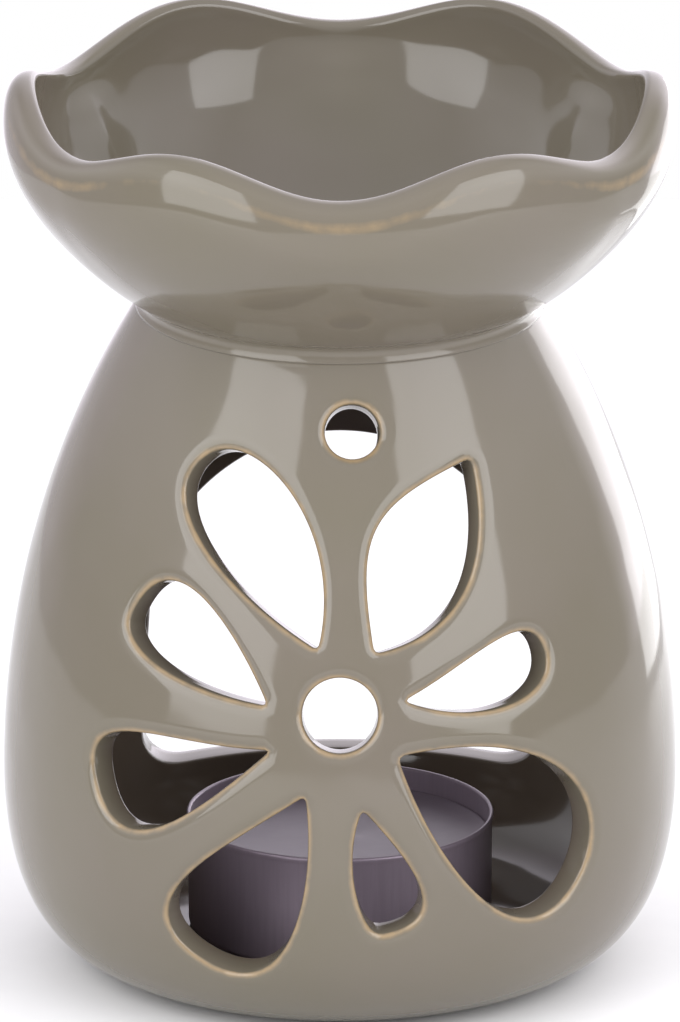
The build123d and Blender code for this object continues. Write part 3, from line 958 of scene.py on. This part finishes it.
def make_camera():
    data = bpy.data.cameras.new("camera")
    data.sensor_width = SENSOR
    data.lens = SENSOR * CAMERA_AWAY / FRAME_HEIGHT
    data.clip_end = CAMERA_SEES
    camera = bpy.data.objects.new("camera", data)
    bpy.context.collection.objects.link(camera)
    away = Vector((0, -math.cos(CAMERA_RISE), math.sin(CAMERA_RISE))) * CAMERA_AWAY
    camera.location = AIM + away
    camera.rotation_euler = (math.radians(90) - CAMERA_RISE, 0, 0)
    bpy.context.scene.camera = camera


def softbox(name, turn_deg, rise_deg, roll_deg, distance, width, height, radiance):
    data = bpy.data.lights.new(name, "AREA")
    data.shape = "RECTANGLE"
    data.size = width
    data.size_y = height
    data.energy = radiance * math.pi * width * height
    lamp = bpy.data.objects.new(name, data)
    bpy.context.collection.objects.link(lamp)
    turn, rise = math.radians(turn_deg), math.radians(rise_deg)
    away = Vector((math.sin(turn) * math.cos(rise), -math.cos(turn) * math.cos(rise), math.sin(rise)))
    lamp.location = AIM + away * distance
    faced = away.to_track_quat("Z", "Y") @ Quaternion((0, 0, 1), math.radians(roll_deg))
    lamp.rotation_euler = faced.to_euler()
    lamp.visible_camera = False


def make_floor():
    """White paper under the ware: matt, with a faint grain."""
    deselect()
    bpy.ops.mesh.primitive_circle_add(
        vertices=STUDIO_FLOOR_COLUMNS, radius=STUDIO_FLOOR_RADIUS, fill_type="NGON",
    )
    floor = bpy.context.object
    floor.name = floor.data.name = "studio_floor"
    material, tree, shader, where = new_material("white_paper")
    fibre = noise(tree, where, size_mm=4, detail=2.0)
    tree.links.new(mixed(tree, fibre, linear("#E6E6E6"), linear("#E9E9E9")), shader.inputs["Base Color"])
    shader.inputs["Roughness"].default_value = 0.9
    floor.data.materials.append(material)


def make_surround():
    """Plain white to the camera. On the ware it gives light from behind on the right, from overhead, and from
    both sides and the front above the horizon."""
    world = bpy.data.worlds.new("studio")
    world.use_nodes = True
    tree = world.node_tree
    tree.nodes.clear()
    seen = add(tree, "ShaderNodeLightPath").outputs["Is Camera Ray"]
    way = add(tree, "ShaderNodeSeparateXYZ", {0: add(tree, "ShaderNodeTexCoord").outputs["Generated"]})
    x, y, z = way.outputs["X"], way.outputs["Y"], way.outputs["Z"]
    behind = ranged(tree, y, *LIGHT_BEHIND)
    back = reckoned(tree, "MULTIPLY", behind, ranged(tree, x, *LIGHT_RIGHT))
    aside = ranged(tree, reckoned(tree, "ABSOLUTE", x), *LIGHT_ASIDE)
    around = reckoned(tree, "ADD", aside, ranged(tree, y, *LIGHT_FRONT))
    raised = reckoned(tree, "MULTIPLY", around, ranged(tree, z, *LIGHT_RAISED))
    glow = reckoned(tree, "ADD", back, ranged(tree, z, *LIGHT_ABOVE))
    glow = reckoned(tree, "ADD", glow, raised)
    strength = add(tree, "ShaderNodeMix", {0: seen, 2: glow, 3: 1.0}).outputs[0]
    hue = mixed(tree, behind, linear("#FBFAFF"), linear("#FBF5FF"))
    tint = mixed(tree, seen, hue, linear("#FFFFFF"))
    light = add(tree, "ShaderNodeBackground", {"Color": tint, "Strength": strength}).outputs[0]
    add(tree, "ShaderNodeOutputWorld", {"Surface": light})
    bpy.context.scene.world = world


make_camera()
make_floor()
make_surround()
for softbox_name, setting in SOFTBOXES.items():
    softbox(softbox_name, *setting)
bpy.context.scene.view_settings.view_transform = "Standard"
